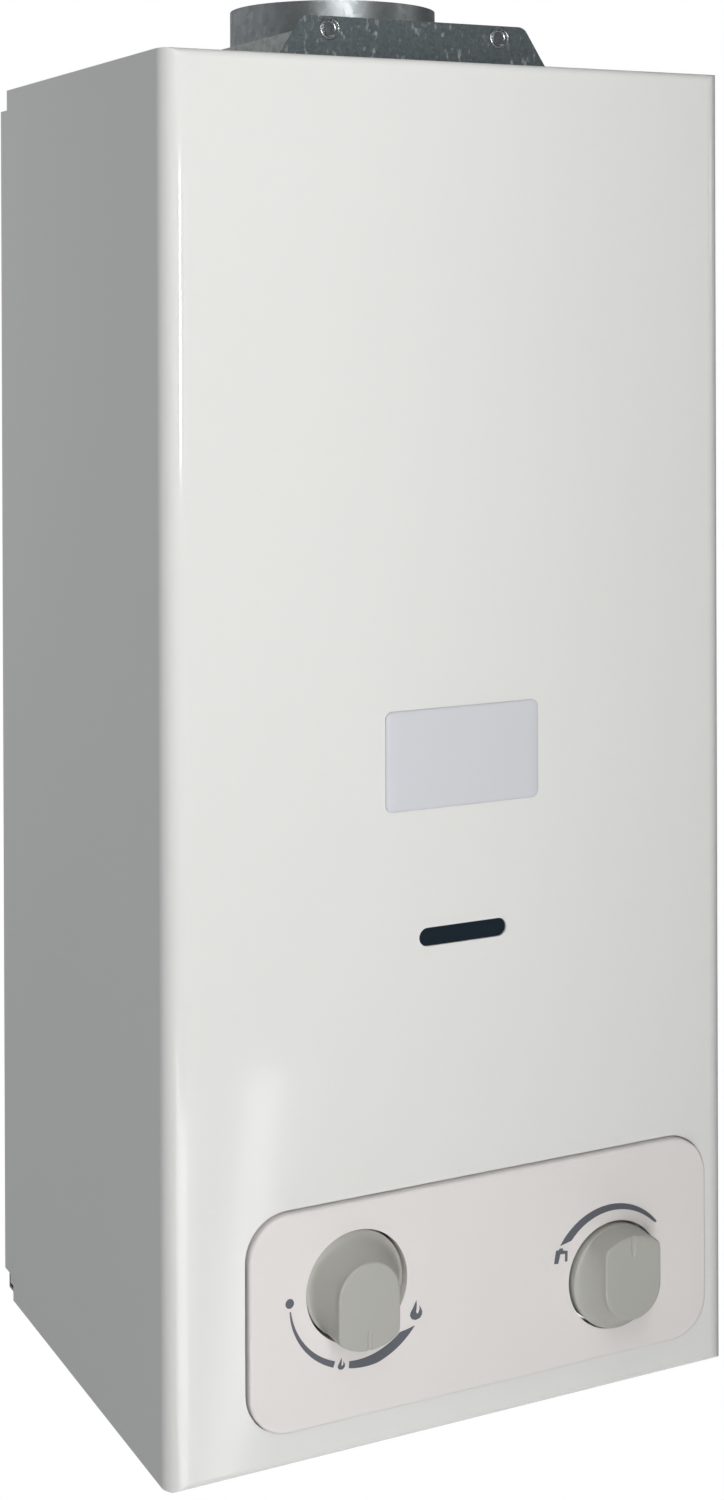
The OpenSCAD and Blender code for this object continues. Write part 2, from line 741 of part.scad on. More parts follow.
module water_valve_body() color(yellow_brass) framed() difference() {
    union() {
        facing(water_x, 90, water_z) cylinder(r = 18, h = 54);
        translate([water_x - 11, 60, 32]) cube([coil_x + 21 - water_x, 30, 36]);
        translate([coil_x, valve_y, 24]) cylinder(r = 13, h = 10);
        translate([coil_x, valve_y, 60]) cylinder(r = 10, h = riser_low - 60);
        along_x(32, valve_y, rod_z) cylinder(r = 35, h = 4);
        along_x(32, valve_y, rod_z) cylinder(r = 26, h = 26);
    }
    facing(water_x, 60, water_z) cylinder(r = 6 + run, h = 40);
    along_x(31, valve_y, rod_z) cylinder(r = 22, h = 9);
    translate([coil_x, valve_y, 23]) cylinder(r = 6, h = 22);
    translate([coil_x, valve_y, 56]) cylinder(r = 5, h = 40);
    valve_screw_places() cylinder(r = 2 + run, h = 40);
}

module valve_screw_places() {
    for (k = [0 : 5])
        along_x(26, valve_y + 30.5 * cos(60 * k + 30), rod_z + 30.5 * sin(60 * k + 30)) children();
}

module diaphragm() color(black) framed() difference() {
    along_x(30, valve_y, rod_z) cylinder(r = 35, h = 2);
    valve_screw_places() cylinder(r = 2.3, h = 40);
}

module diaphragm_cover() color(yellow_brass) framed() difference() {
    union() {
        along_x(26, valve_y, rod_z) cylinder(r = 35, h = 4);
        along_x(12, valve_y, rod_z) cylinder(r = 26, h = 14);
        along_x(4, valve_y, rod_z) cylinder(r = 7, h = 9);
    }
    along_x(15, valve_y, rod_z) cylinder(r = 22, h = 20);
    along_x(0, valve_y, rod_z) cylinder(r = rod_r + run, h = 20);
    valve_screw_places() translate([0, 0, -5]) cylinder(r = 2.2, h = 40);
}

module valve_screws() color(steel) framed() valve_screw_places() {
    cylinder(r = 2, h = 10.5);
    translate([0, 0, -3.2]) cylinder(r = 3.4, h = 3.2);
}

module push_rod() color(steel) framed() {
    along_x(26.4, valve_y, rod_z) cylinder(r = 20, h = 3);
    along_x(-36, valve_y, rod_z) cylinder(r = rod_r, h = 63);
    along_x(-33, valve_y, rod_z) cylinder(r = 7.5, h = 3);
    along_x(-2.2, valve_y, rod_z) cylinder(r = 6, h = 3);
}

module micro_switch() color(black) framed() difference() {
    union() {
        translate([gas_x + 28.1, valve_y - 6, 76]) cube([22, 12, 10]);
        for (y = [-5.6, 4])
            translate([-5.4, valve_y + y, 72.6]) cube([4.4, 1.6, 4]);
    }
    facing(-3.2, valve_y + 20, 74.2) cylinder(r = 0.8 + run, h = 40);
}

module switch_lever() color(steel) framed() {
    facing(-3.2, valve_y + 5.4, 74.2) cylinder(r = 0.8, h = 10.8);
    translate([-3.1, valve_y - 3.6, 62.2]) cube([0.5, 7.2, 12]);
}

module inlet(x, y, top) {
    translate([x, y, 0]) difference() {
        union() {
            translate([0, 0, -stub]) cylinder(r = thread_d / 2, h = stub + thread_top);
            translate([0, 0, thread_top]) cylinder(r = neck_r, h = shelf_top - thread_top);
            translate([0, 0, shelf_top]) cylinder(r = 14, h = 6, $fn = 6);
            translate([0, 0, shelf_top]) cylinder(r = 10, h = top - shelf_top);
        }
        translate([0, 0, -stub - 1]) cylinder(r = 7, h = stub + 12);
    }
}

module gas_inlet_union() color(yellow_brass) framed() inlet(gas_x, valve_y, gas_low);

module cold_inlet_union() color(yellow_brass) framed() inlet(coil_x, valve_y, 24);

module hot_outlet_union() color(yellow_brass) framed() inlet(hot_x, hot_y, hot_top);

module union_nuts() color(yellow_brass) framed()
    for (p = [[gas_x, valve_y], [coil_x, valve_y], [hot_x, hot_y]])
        translate([p[0], p[1], thread_top + 0.5]) nut(28, shelf_z - thread_top - 0.6, neck_r + run);

module connection_shelf() color(zinc) framed() difference() {
    union() {
        across(2 * shelf_half, plate_y - 54, shelf_t, 0, 54, shelf_z);
        across(2 * shelf_half, shelf_t, 26, 0, plate_y - shelf_t, shelf_z);
    }
    across(case_w + 8, 80, 60, case_x, case_y - 6, 0);
    for (p = [[gas_x, valve_y], [coil_x, valve_y], [hot_x, hot_y]])
        translate([p[0], p[1], 0]) cylinder(r = neck_r + 0.2, h = 40);
    for (x = shelf_screws)
        facing(x, plate_y + 5, shelf_screw_z) cylinder(r = 2.2, h = 10);
}

module ignition_box() color(black) framed() {
    translate([(box_x0 + box_x1) / 2, (box_y0 + box_y1) / 2, shelf_top + 0.1])
        linear_extrude(box_top - shelf_top - 0.1) rrect(box_x1 - box_x0, box_y1 - box_y0, 3);
    translate([(box_x0 + box_x1) / 2, box_y0 + 14, box_top]) linear_extrude(5) rrect(30, 12, 1);
}

module battery_case() color(black) framed() difference() {
    union() {
        difference() {
            across(case_w, case_l, case_high - case_low, case_x, case_y, case_low);
            across(case_w - 4, case_l - 4, case_high - case_low - 2, case_x, case_y + 2, case_low);
        }
        for (s = [-1, 1])
            translate([case_x + s * 31 - 3, pin_y - 3, pin_z - 3]) cube([6, 6.2, 8]);
    }
    along_x(-half_w, pin_y, pin_z) cylinder(r = 1.5 + run, h = casing_w);
}

module batteries() color([0.5, 0.42, 0.25]) framed()
    for (s = [-1, 1])
        translate([case_x + s * 17, case_y + case_l / 2, case_low + 2]) {
            cylinder(r = cell_d / 2, h = 58);
            cylinder(r = 5, h = 61);
        }

module battery_lid() color(black) framed() difference() {
    union() {
        difference() {
            translate([case_x - case_w / 2, case_y + 0.2, case_low - 2.7])
                cube([case_w, pin_y - case_y - 0.2, 2.4]);
            for (s = [-1, 1])
                across(7.6, 20, 20, case_x + s * 31, pin_y - 5, pin_z - 5);
        }
        along_x(case_x - 27, pin_y, pin_z) cylinder(r = 3, h = 54);
        across(12, 1.5, 4, case_x, case_y + 3, case_low - 0.3);
    }
    along_x(-half_w, pin_y, pin_z) cylinder(r = 1.5 + run, h = casing_w);
}

module lid_pin() color(steel) framed() along_x(case_x - 34, pin_y, pin_z) cylinder(r = 1.5, h = 68);

module electrode_bracket() color(zinc) framed() {
    across(34, 1.2, 12, 0, rail_y - 1.3, 172);
    difference() {
        across(34, rail_y - probe_y + 4, 1.2, 0, probe_y - 5, 172);
        for (s = [-1, 1])
            translate([s * probe_x, probe_y, 160]) cylinder(r = probe_r + 0.1, h = 20);
    }
}

module probe(x) {
    translate([x, probe_y, probe_low]) cylinder(r = probe_r, h = probe_high - probe_low);
    translate([x, probe_y, probe_high]) cylinder(r = 0.9, h = 7);
    translate([x, probe_y, probe_high + 7]) sphere(r = 0.9);
    facing(x, bar_y + 9.5, probe_high + 7) cylinder(r = 0.9, h = bar_y + 9.5 - probe_y);
}

module ignition_electrode() color([0.92, 0.91, 0.87]) framed() probe(-probe_x);

module flame_sensor() color([0.92, 0.91, 0.87]) framed() probe(probe_x);

module ignition_lead() color([0.6, 0.1, 0.08]) framed() lead(ignition_route, 1.7);

module sensor_lead() color(black) framed() lead(sensor_route, 1.4);

module tongue(i) {
    intersection() {
        circle(knob_d / 2 - 0.3 - i);
        union() {
            circle(grip_w / 2 - i);
            translate([i - grip_w / 2, 0]) square([grip_w - 2 * i, knob_d]);
        }
    }
}

module shaft_hole(r, flat) {
    intersection() {
        circle(r);
        translate([-2 * r, -2 * r]) square([4 * r, 2 * r + flat]);
    }
}

// A knob with its back at local z = 0 and its pointing end along local +y
module knob() {
    rim = knob_d / 2;
    difference() {
        union() {
            rotate_extrude() polygon([[0, 5], [rim - 2, 5], [rim - 2, 0], [rim, 0],
                [rim, knob_skirt - 0.8], [rim - 0.3, knob_skirt - 0.2], [rim - 1, knob_skirt],
                [rim - 1.8, knob_skirt], [rim - 6, knob_skirt - 1.6], [0, knob_skirt - 1.6]]);
            translate([0, 0, 6]) linear_extrude(knob_len - 7.6) tongue(0);
            translate([0, 0, knob_len - 1.6]) linear_extrude(0.8) tongue(0.35);
            translate([0, 0, knob_len - 0.8]) linear_extrude(0.8) tongue(1);
            translate([0, 0, -3]) cylinder(r = 7, h = 9);
        }
        translate([-0.8, knob_d / 2 - 9, knob_len - 0.7]) cube([1.6, 6.5, 2]);
        translate([0, 0, -4]) linear_extrude(knob_bore + 4) shaft_hole(shaft_r + run, 3 + run);
    }
}

// A spindle from a knob's bore, at depth front, into a valve bored out to depth end
module spindle(x, z, front, end, plug_r) {
    facing(x, end, z) {
        cylinder(r = plug_r, h = 22);
        cylinder(r = shaft_r, h = end - front - 18);
        linear_extrude(end - front) shaft_hole(shaft_r, 3);
    }
}

module gas_knob() color([0.68, 0.68, 0.66]) framed()
    facing(gas_x, gas_rear, gas_z) rotate([0, 0, 180]) knob();

module gas_spindle() color(yellow_brass) framed() facing(gas_x, 0, gas_z) rotate([0, 0, 180])
    translate([-gas_x, -gas_z, 0]) rotate([-90, 0, 0])
        spindle(gas_x, gas_z, gas_rear - knob_bore + 0.3, 59.8, 7);

module water_knob() color([0.68, 0.68, 0.66]) framed()
    facing(water_x, water_rear, water_z) knob();

module water_spindle() color(yellow_brass) framed()
    spindle(water_x, water_z, water_rear - knob_bore + 0.3, 59.8, 6);

front_casing();
control_panel();
panel_screws();
badge_plate();
sight_frame();
sight_glass();
cover_screws();
back_plate();
chassis_screws();
draught_hood();
hood_front_plate();
flue_collar();
hood_baffle();
spill_sensor();
combustion_chamber();
fin_block();
exchanger_tubes();
coil_pipe();
hot_outlet_pipe();
pipe_nuts();
overheat_sensor();
chamber_brackets();
burner_frame();
burner_bars();
gas_manifold();
injectors();
gas_feed_pipe();
gas_valve_body();
gas_solenoid();
water_valve_body();
diaphragm();
diaphragm_cover();
valve_screws();
push_rod();
micro_switch();
switch_lever();
gas_inlet_union();
cold_inlet_union();
hot_outlet_union();
union_nuts();
connection_shelf();
ignition_box();
battery_case();
batteries();
battery_lid();
lid_pin();
electrode_bracket();
ignition_electrode();
flame_sensor();
ignition_lead();
sensor_lead();
gas_knob();
gas_spindle();
water_knob();
water_spindle();
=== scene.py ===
import math

import bmesh
import bpy
from mathutils import Matrix, Quaternion, Vector


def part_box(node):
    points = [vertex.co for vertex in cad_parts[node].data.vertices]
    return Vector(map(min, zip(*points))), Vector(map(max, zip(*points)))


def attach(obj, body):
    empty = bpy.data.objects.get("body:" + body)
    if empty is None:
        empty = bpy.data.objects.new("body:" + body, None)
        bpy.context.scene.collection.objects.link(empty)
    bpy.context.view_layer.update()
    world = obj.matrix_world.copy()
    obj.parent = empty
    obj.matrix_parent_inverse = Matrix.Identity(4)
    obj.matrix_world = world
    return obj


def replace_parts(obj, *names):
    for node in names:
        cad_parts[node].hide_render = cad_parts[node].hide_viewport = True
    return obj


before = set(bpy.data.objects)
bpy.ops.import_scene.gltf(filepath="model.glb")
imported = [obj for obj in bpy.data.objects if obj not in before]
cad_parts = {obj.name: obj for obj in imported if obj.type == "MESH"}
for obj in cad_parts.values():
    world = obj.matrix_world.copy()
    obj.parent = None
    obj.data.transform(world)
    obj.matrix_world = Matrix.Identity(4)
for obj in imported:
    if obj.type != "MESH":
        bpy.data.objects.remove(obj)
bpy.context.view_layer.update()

# Camera: a product camera to the left of the heater, almost level. Its film is shifted down instead
# of tilted, so that upright edges stay nearly upright in the picture.
studio = bpy.context.scene
studio.view_settings.view_transform = "Standard"

camera_place = (-0.4441, -1.0099, 0.1756)
yaw, pitch, roll = math.radians(26.367), math.radians(-0.177), math.radians(-0.191)
ahead = Vector((math.sin(yaw) * math.cos(pitch), math.cos(yaw) * math.cos(pitch), math.sin(pitch)))
level = Vector((math.cos(yaw), -math.sin(yaw), 0))
upright = level.cross(ahead)
right = level * math.cos(roll) + upright * math.sin(roll)
up = upright * math.cos(roll) - level * math.sin(roll)
lens = bpy.data.cameras.new("product_camera")
lens.sensor_fit = "VERTICAL"
lens.sensor_height = 36
lens.lens = 54.694
lens.shift_y = -0.29
lens.dof.use_dof = False
camera = bpy.data.objects.new("product_camera", lens)
facing = Matrix((right, up, -ahead)).transposed().to_4x4()
camera.matrix_world = Matrix.Translation(camera_place) @ facing
studio.collection.objects.link(camera)
studio.camera = camera


# Room: pale walls all round, brighter on the side of a window behind the heater and to its left.
# The camera itself sees plain white there, like a paper backdrop.
def wire(tree, kind, values=None, **settings):
    """Adds one shader node; each value is set on the input of that name, or linked if it is a socket."""
    node = tree.nodes.new("ShaderNode" + kind)
    for key, value in settings.items():
        setattr(node, key, value)
    for key, value in (values or {}).items():
        if isinstance(value, bpy.types.NodeSocket):
            tree.links.new(value, node.inputs[key])
        else:
            node.inputs[key].default_value = value
    return node


room_tint = (0.96, 0.98, 1.0, 1)
backdrop_white = (1, 1, 1, 1)
window_direction = (-0.42, 0.91, 0)
room_strength = {"From Min": -0.3, "From Max": 1.0, "To Min": 0.07, "To Max": 0.36}

room = bpy.data.worlds.new("pale_room")
room.use_nodes = True
walls = room.node_tree
wall_light = walls.nodes["Background"]
wall_light.inputs["Color"].default_value = room_tint
outwards = wire(walls, "TexCoord").outputs["Generated"]
window_side = wire(walls, "VectorMath", {0: outwards, 1: window_direction}, operation="DOT_PRODUCT")
wall_fade = wire(walls, "MapRange", {"Value": window_side.outputs["Value"], **room_strength},
                 interpolation_type="SMOOTHSTEP")
walls.links.new(wall_fade.outputs["Result"], wall_light.inputs["Strength"])
backdrop = wire(walls, "Background", {"Color": backdrop_white})
seen = wire(walls, "LightPath").outputs["Is Camera Ray"]
wall_or_backdrop = wire(walls, "MixShader", {"Fac": seen, 1: wall_light.outputs[0], 2: backdrop.outputs[0]})
walls.links.new(wall_or_backdrop.outputs[0], walls.nodes["World Output"].inputs["Surface"])
studio.world = room


# Lights: a tall soft box in front and a small one behind, both kept out of the enamel's mirror, and
# a weak one overhead. The panes light nothing and show only as reflections: the bright lines on the
# upright corner, above the foot, on the flue collar and along the right edge.
def soft_box(name, place, aim, width, height, watts,
             colour=(1, 1, 1), mirrored=True, lit=True, lean=0.0):
    """A rectangular light; gloss shows it if mirrored, matt surfaces take its light if lit."""
    light = bpy.data.lights.new(name, "AREA")
    light.shape = "RECTANGLE"
    light.size, light.size_y = width, height
    light.energy = watts
    light.color = colour
    holder = bpy.data.objects.new(name, light)
    holder.location = place
    holder.visible_camera = False
    holder.visible_glossy = mirrored
    holder.visible_diffuse = lit
    aimed = (Vector(aim) - Vector(place)).to_track_quat("-Z", "Y")
    leaning = Quaternion((0, 0, 1), math.radians(lean))
    holder.rotation_euler = (aimed @ leaning).to_euler()
    studio.collection.objects.link(holder)


collar_aim = (0, -0.09, 0.3)
soft_box("tall_box", place=(-0.17, -0.8, 0.13), aim=(-0.07, -0.2, 0.05), width=0.2, height=1.6,
         watts=6.3, colour=(1, 0.99, 0.98), mirrored=False)
soft_box("rear_box", place=(-0.5, 0.3, 0.25), aim=(-0.128, -0.05, 0.15), width=0.5, height=0.5,
         watts=0.65, mirrored=False)
soft_box("collar_pane", place=(-0.47, -1.06, 0.44), aim=collar_aim, width=0.42, height=0.12,
         watts=0.8, lit=False)
soft_box("side_pane", place=(1.05, -0.67, 0.35), aim=collar_aim, width=0.5, height=0.5,
         watts=0.4, lit=False)
soft_box("corner_pane", place=(-0.18, -1.4, 0.17), aim=(-0.12, -0.2, 0.16), width=0.14, height=0.25,
         watts=5, lit=False)
soft_box("corner_low_pane", place=(-0.35, -1.25, -0.7), aim=(-0.35, -0.2, -0.7), width=1.3, height=0.39,
         watts=4.8, lit=False)
soft_box("low_pane", place=(0.354, -1.25, -0.69), aim=(0.354, -0.2, -0.69), width=0.036, height=0.38,
         watts=0.11, lit=False, lean=-7)
soft_box("edge_pane", place=(1.05, -0.67, 0.27), aim=(0.128, -0.2, 0.22), width=0.12, height=0.1,
         watts=0.11, lit=False)
soft_box("top_box", place=(0.4, -0.5, 1.6), aim=(0, -0.1, 0), width=1.0, height=1.0, watts=1)


# Back plate: the chassis, a folded sheet of galvanised steel that hangs on four wall screws.
# Hot-dip zinc freezes in flat crystals, each with its own tone, so the sheet looks like frost.
def effect(name, inputs, outputs):
    """An empty node group; gives the group, the sockets of its inputs and those of its outputs."""
    tree = bpy.data.node_groups.new(name, "ShaderNodeTree")
    for label, (kind, value) in inputs.items():
        socket = tree.interface.new_socket(label, in_out="INPUT", socket_type="NodeSocket" + kind)
        socket.default_value = value
    for label, kind in outputs.items():
        tree.interface.new_socket(label, in_out="OUTPUT", socket_type="NodeSocket" + kind)
    return tree, tree.nodes.new("NodeGroupInput").outputs, tree.nodes.new("NodeGroupOutput").inputs


def reckon(tree, operation, first, second):
    """The result of one sum on two numbers or sockets."""
    return wire(tree, "Math", {0: first, 1: second}, operation=operation).outputs[0]


def mix_colours(tree, share, first, second):
    """The colour between first and second; a Mix node's colour sockets are 6, 7 and, coming out, 2."""
    return wire(tree, "Mix", {0: share, 6: first, 7: second}, data_type="RGBA").outputs[2]


def finish(name, group, values, bump=0.1, depth=0.0002, **plain):
    """A material that takes colour, roughness and relief from a group; plain is set on the shader."""
    material = bpy.data.materials.new(name)
    material.use_nodes = True
    tree = material.node_tree
    surface = tree.nodes["Principled BSDF"]
    for key, value in plain.items():
        surface.inputs[key.replace("_", " ")].default_value = value
    look = wire(tree, "Group", values, node_tree=group)
    relief = wire(tree, "Bump", {"Strength": bump, "Distance": depth, "Height": look.outputs["Height"]})
    tree.links.new(look.outputs["Colour"], surface.inputs["Base Color"])
    tree.links.new(look.outputs["Roughness"], surface.inputs["Roughness"])
    tree.links.new(relief.outputs["Normal"], surface.inputs["Normal"])
    return material


def dress(material, *names):
    """Gives CAD pieces their material."""
    for name in names:
        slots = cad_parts[name].data.materials
        slots.clear()
        slots.append(material)


surface_outputs = {"Colour": "Color", "Roughness": "Float", "Height": "Float"}
drift_coarseness = 0.42
drift_width = 1.8
cloud_share = 0.35
fleck_stretch = (1.0, 1.0, 0.45)
fleck_colour = (0.9, 0.93, 0.93, 1)
spangle, spangle_in, spangle_out = effect(
    "zinc_spangle",
    {"Scale": ("Float", 120.0), "Dark": ("Color", (0.2, 0.22, 0.24, 1)),
     "Light": ("Color", (0.5, 0.53, 0.56, 1)), "Fleck": ("Float", 0.3)},
    surface_outputs)
spot = wire(spangle, "TexCoord").outputs["Object"]
drift_scale = reckon(spangle, "MULTIPLY", spangle_in["Scale"], drift_coarseness)
drift = wire(spangle, "TexNoise", {"Vector": spot, "Scale": drift_scale, "Detail": 3.0})
drift_reach = reckon(spangle, "DIVIDE", drift_width, spangle_in["Scale"])
pushed = wire(spangle, "VectorMath", {0: drift.outputs["Color"], "Scale": drift_reach}, operation="SCALE")
moved = wire(spangle, "VectorMath", {0: spot, 1: pushed.outputs[0]}, operation="ADD")
crystal = wire(spangle, "TexVoronoi", {"Vector": moved.outputs[0], "Scale": spangle_in["Scale"]})
tone = wire(spangle, "SeparateColor", {"Color": crystal.outputs["Color"]})
cloud = wire(spangle, "TexNoise", {"Vector": spot, "Scale": 420.0, "Detail": 4.0, "Roughness": 0.65})
blend = wire(spangle, "Mix", {"Factor": cloud_share, "A": tone.outputs["Red"], "B": cloud.outputs["Fac"]},
             data_type="FLOAT").outputs["Result"]
shade = mix_colours(spangle, blend, spangle_in["Dark"], spangle_in["Light"])
drawn = wire(spangle, "Mapping", {"Vector": spot, "Scale": fleck_stretch})
speck = wire(spangle, "TexNoise", {"Vector": drawn.outputs["Vector"], "Scale": 520.0, "Detail": 2.0})
speck_mask = wire(spangle, "MapRange", {"Value": speck.outputs["Fac"], "From Min": 0.6, "From Max": 0.74,
                                        "To Max": spangle_in["Fleck"]})
flecked = mix_colours(spangle, speck_mask.outputs["Result"], shade, fleck_colour)
gleam = wire(spangle, "MapRange", {"Value": blend, "To Min": 0.5, "To Max": 0.3})
spangle.links.new(flecked, spangle_out["Colour"])
spangle.links.new(gleam.outputs["Result"], spangle_out["Roughness"])
spangle.links.new(blend, spangle_out["Height"])

galvanised = finish("galvanised_sheet", spangle, {"Scale": 130.0}, bump=0.12, Metallic=0.9)
dress(galvanised, "back_plate")

# Screws: zinc-plated steel, bright with patches a little duller spread at random. They hold the
# sheet pieces to the back plate, the water valve's cover, the panel and the casing.
scratch_stretch = (900.0, 900.0, 60.0)
worked, worked_in, worked_out = effect(
    "worked_metal",
    {"Bright": ("Color", (0.7, 0.7, 0.7, 1)), "Dull": ("Color", (0.4, 0.4, 0.4, 1)),
     "Scale": ("Float", 60.0), "Polish": ("Float", 0.3)},
    surface_outputs)
spot = wire(worked, "TexCoord").outputs["Object"]
stain = wire(worked, "TexNoise",
             {"Vector": spot, "Scale": worked_in["Scale"], "Detail": 5.0, "Roughness": 0.6})
stain_mask = wire(worked, "MapRange", {"Value": stain.outputs["Fac"], "From Min": 0.35, "From Max": 0.7})
drawn = wire(worked, "Mapping", {"Vector": spot, "Scale": scratch_stretch})
scratch = wire(worked, "TexNoise", {"Vector": drawn.outputs["Vector"], "Scale": 2.0, "Detail": 2.0})
shade = mix_colours(worked, stain_mask.outputs["Result"], worked_in["Bright"], worked_in["Dull"])
rough = wire(worked, "MapRange", {"Value": stain.outputs["Fac"], "To Min": 0.0, "To Max": 0.25})
polish = reckon(worked, "ADD", worked_in["Polish"], rough.outputs["Result"])
worked.links.new(shade, worked_out["Colour"])
worked.links.new(polish, worked_out["Roughness"])
worked.links.new(scratch.outputs["Fac"], worked_out["Height"])

plated = finish(
    "plated_steel", worked,
    {"Bright": (0.62, 0.63, 0.64, 1), "Dull": (0.42, 0.42, 0.42, 1)},
    bump=0.05, Metallic=1.0)
dress(plated, "chassis_screws", "valve_screws", "cover_screws", "panel_screws")

# Connections: turned brass unions for gas, cold and hot water that reach out under the casing.
# They stand in a shelf of galvanised sheet, screwed to the back plate, each with a nut under it.
brass = finish(
    "brass", worked,
    {"Bright": (0.72, 0.53, 0.24, 1), "Dull": (0.5, 0.35, 0.15, 1), "Polish": 0.24},
    bump=0.06, Metallic=1.0)
dress(brass, "gas_inlet_union", "cold_inlet_union", "hot_outlet_union", "union_nuts")
dress(galvanised, "connection_shelf")

# Water valve: a forged brass body and cover, screwed together over a plain rubber diaphragm. When
# water flows, the diaphragm pushes a steel rod, which tips the lever of a black moulded switch.
dress(brass, "water_valve_body", "diaphragm_cover", "water_spindle")
dress(plated, "push_rod", "switch_lever")

grain, grain_in, grain_out = effect(
    "moulded_grain",
    {"Tone": ("Color", (0.8, 0.8, 0.8, 1)), "Low Tone": ("Color", (0.78, 0.78, 0.78, 1)),
     "Scale": ("Float", 900.0), "Gloss": ("Float", 0.3)},
    surface_outputs)
spot = wire(grain, "TexCoord").outputs["Object"]
fine = wire(grain, "TexNoise", {"Vector": spot, "Scale": grain_in["Scale"], "Detail": 2.0})
broad = wire(grain, "TexNoise", {"Vector": spot, "Scale": 9.0, "Detail": 2.0})
shade = mix_colours(grain, broad.outputs["Fac"], grain_in["Tone"], grain_in["Low Tone"])
haze = wire(grain, "MapRange", {"Value": broad.outputs["Fac"], "To Min": -0.03, "To Max": 0.03})
gloss = reckon(grain, "ADD", grain_in["Gloss"], haze.outputs["Result"])
grain.links.new(shade, grain_out["Colour"])
grain.links.new(gloss, grain_out["Roughness"])
grain.links.new(fine.outputs["Fac"], grain_out["Height"])

rubber = finish(
    "rubber", grain,
    {"Tone": (0.02, 0.02, 0.022, 1), "Low Tone": (0.03, 0.03, 0.03, 1), "Gloss": 0.6})
dress(rubber, "diaphragm")
black = finish(
    "black_plastic", grain,
    {"Tone": (0.016, 0.016, 0.018, 1), "Low Tone": (0.024, 0.024, 0.026, 1),
     "Scale": 2200.0, "Gloss": 0.42},
    bump=0.2)
dress(black, "micro_switch")

# Gas valve: a die-cast light alloy body, left as cast, that stands on the gas union. A brass spindle
# turns in its bore, and a black moulded solenoid sits on its side.
cast = finish(
    "cast_alloy", grain,
    {"Tone": (0.42, 0.43, 0.44, 1), "Low Tone": (0.5, 0.51, 0.52, 1), "Scale": 1500.0, "Gloss": 0.5},
    bump=0.4, Metallic=0.85)
dress(cast, "gas_valve_body")
dress(brass, "gas_spindle")
dress(black, "gas_solenoid")

# Burner: pressed stainless bars, browned by heat towards their flame ports, in a frame of galvanised
# sheet. A brass pipe feeds the manifold in front of them, and brass injectors are screwed into it.
heat_waver = 0.03
heat, heat_in, heat_out = effect(
    "heat_tint",
    {"Colour": ("Color", (0.6, 0.6, 0.6, 1)), "Tint": ("Color", (0.4, 0.25, 0.3, 1)),
     "From Height": ("Float", 0.0), "To Height": ("Float", 1.0)},
    {"Colour": "Color"})
spot = wire(heat, "TexCoord").outputs["Object"]
height = wire(heat, "SeparateXYZ", {"Vector": spot})
patch = wire(heat, "TexNoise", {"Vector": spot, "Scale": 30.0, "Detail": 4.0})
stir = wire(heat, "MapRange", {"Value": patch.outputs["Fac"], "To Min": -heat_waver, "To Max": heat_waver})
stirred = reckon(heat, "ADD", height.outputs["Z"], stir.outputs["Result"])
reach = wire(heat, "MapRange", {"Value": stirred, "From Min": heat_in["From Height"],
                                "From Max": heat_in["To Height"]}, interpolation_type="SMOOTHSTEP")
shade = mix_colours(heat, reach.outputs["Result"], heat_in["Colour"], heat_in["Tint"])
heat.links.new(shade, heat_out["Colour"])


def tint(material, tint_colour, low, high):
    """Lets heat colour a material's surface, from none at height low to all at height high."""
    tree = material.node_tree
    surface = tree.nodes["Principled BSDF"]
    source = surface.inputs["Base Color"].links[0].from_socket
    scorched = wire(tree, "Group", node_tree=heat, values={
        "Colour": source, "Tint": tint_colour, "From Height": low, "To Height": high})
    tree.links.new(scorched.outputs["Colour"], surface.inputs["Base Color"])


stainless = finish(
    "burner_stainless", worked,
    {"Bright": (0.56, 0.55, 0.53, 1), "Dull": (0.4, 0.38, 0.36, 1)},
    bump=0.05, Metallic=1.0)
port_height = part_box("burner_bars")[1][2]
port_band = 0.02
tint(stainless, (0.3, 0.19, 0.15, 1), port_height - port_band, port_height)
dress(stainless, "burner_bars")
dress(galvanised, "burner_frame", "gas_manifold")
dress(brass, "gas_feed_pipe", "injectors")

# Combustion chamber and pipes: brazed sheet copper with its fins and tubes, held off the back plate
# by two galvanised stand-offs. The flames brown the chamber towards its top. Brass nuts join the
# pipes, and a black moulded sensor on the chamber's side watches its heat.
copper = finish(
    "copper", worked,
    {"Bright": (0.78, 0.42, 0.27, 1), "Dull": (0.5, 0.25, 0.16, 1), "Polish": 0.22, "Scale": 25.0},
    bump=0.05, Metallic=1.0)
chamber_low, chamber_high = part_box("combustion_chamber")
unburnt_rim = 0.05
tint(copper, (0.36, 0.2, 0.16, 1), chamber_low[2] + unburnt_rim, chamber_high[2])
dress(copper, "combustion_chamber", "fin_block", "exchanger_tubes", "coil_pipe", "hot_outlet_pipe")
dress(galvanised, "chamber_brackets")
dress(brass, "pipe_nuts")
dress(black, "overheat_sensor")

# Draught hood and flue collar: folded and rolled zinc-coated sheet. The front plate has a darker zinc
# than the collar. The hood's zinc is painted lighter than the collar's: painted light for the light
# that falls on its side wall. Two round clinch points press the front plate into the upstand behind
# it, and a black moulded sensor on the hood's front feels flue gas that spills.
plate_zinc = finish(
    "dark_plate_zinc", spangle,
    {"Scale": 800.0, "Dark": (0.115, 0.14, 0.15, 1), "Light": (0.22, 0.26, 0.275, 1), "Fleck": 0.55},
    bump=0.2, Metallic=0.6)
dress(plate_zinc, "hood_front_plate")
rolled = finish(
    "rolled_zinc", spangle,
    {"Scale": 300.0, "Dark": (0.37, 0.4, 0.41, 1), "Light": (0.52, 0.55, 0.56, 1), "Fleck": 0.12},
    bump=0.1, Metallic=0.9)
dress(rolled, "flue_collar", "hood_baffle")
# Painted light: lighter than the collar's zinc, so that the hood's side wall looks lit.
hood_zinc_lit = finish(
    "hood_zinc_painted_light", spangle,
    {"Scale": 300.0, "Dark": (0.46, 0.5, 0.48, 1), "Light": (0.62, 0.66, 0.63, 1), "Fleck": 0.12},
    bump=0.1, Metallic=0.9)
dress(hood_zinc_lit, "draught_hood")
dress(black, "spill_sensor")
